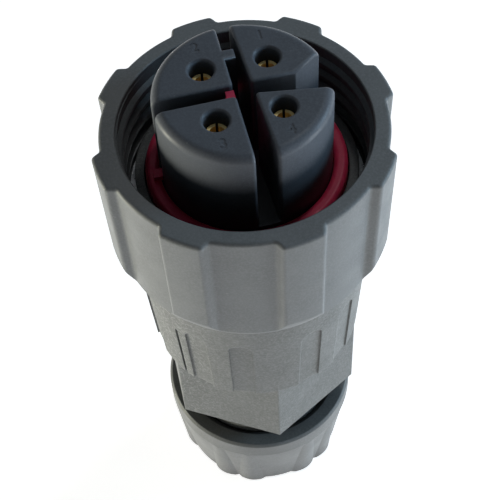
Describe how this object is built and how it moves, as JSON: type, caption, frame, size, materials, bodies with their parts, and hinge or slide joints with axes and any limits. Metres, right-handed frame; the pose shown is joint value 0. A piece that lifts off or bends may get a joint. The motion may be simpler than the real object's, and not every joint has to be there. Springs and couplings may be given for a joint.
{
  "type": "female power connector",
  "caption": "Round cable-mounted socket with split brass contacts in a cross-slotted insert, a gripped coupling ring, a hexagonal housing and a ribbed gland nut.",
  "frame": {"origin": "centre of the gland nut's foot, on the surface that the connector stands on", "axes": "+Z along the connector's axis from the cable end to the mating face, -Y towards the side with a corner of the hexagon, which faces the picture's viewer"},
  "size_m": [0.04, 0.04, 0.0872],
  "materials": {
    "housing_plastic": "spark-eroded texture",
    "ring_plastic": "satin",
    "insert_plastic": "satin",
    "nut_plastic": "satin",
    "cage_plastic": "natural nylon",
    "grommet_rubber": "soft",
    "seal_rubber": "silicone",
    "contact_brass": "turned",
    "screw_steel": "zinc plated"
  },
  "bodies": {
    "housing": {"main_housing": "housing_plastic", "contact_insert": "insert_plastic", "terminal_carrier": "insert_plastic", "carrier_screw": "screw_steel", "face_seal": "seal_rubber", "insert_o_ring": "seal_rubber", "ring_clip": "screw_steel", "socket_contact_1": "contact_brass", "socket_contact_2": "contact_brass", "socket_contact_3": "contact_brass", "socket_contact_4": "contact_brass", "terminal_screw_1": "screw_steel", "terminal_screw_2": "screw_steel", "terminal_screw_3": "screw_steel", "terminal_screw_4": "screw_steel"},
    "ring": {"coupling_ring": "ring_plastic"},
    "clamp": {"slip_ring": "cage_plastic", "clamp_cage": "cage_plastic", "cable_grommet": "grommet_rubber"},
    "nut": {"gland_nut": "nut_plastic"}
  },
  "joints": [
    {"name": "ring_turn", "type": "hinge", "parent": "housing", "child": "ring", "pos_m": [0, 0, 0.0735], "axis": [0, 0, 1], "continuous": true},
    {"name": "nut_travel", "type": "slide", "parent": "housing", "child": "clamp", "axis": [0, 0, 1], "range_m": [-0.00601, 0.00351]},
    {"name": "nut_turn", "type": "hinge", "parent": "clamp", "child": "nut", "pos_m": [0, 0, 0.008], "axis": [0, 0, 1], "range_deg": [-1440, 840]}
  ],
  "couplings": [
    {"joint": "nut_travel", "follows": "nut_turn", "m_per_rad": 0.00023873}
  ]
}
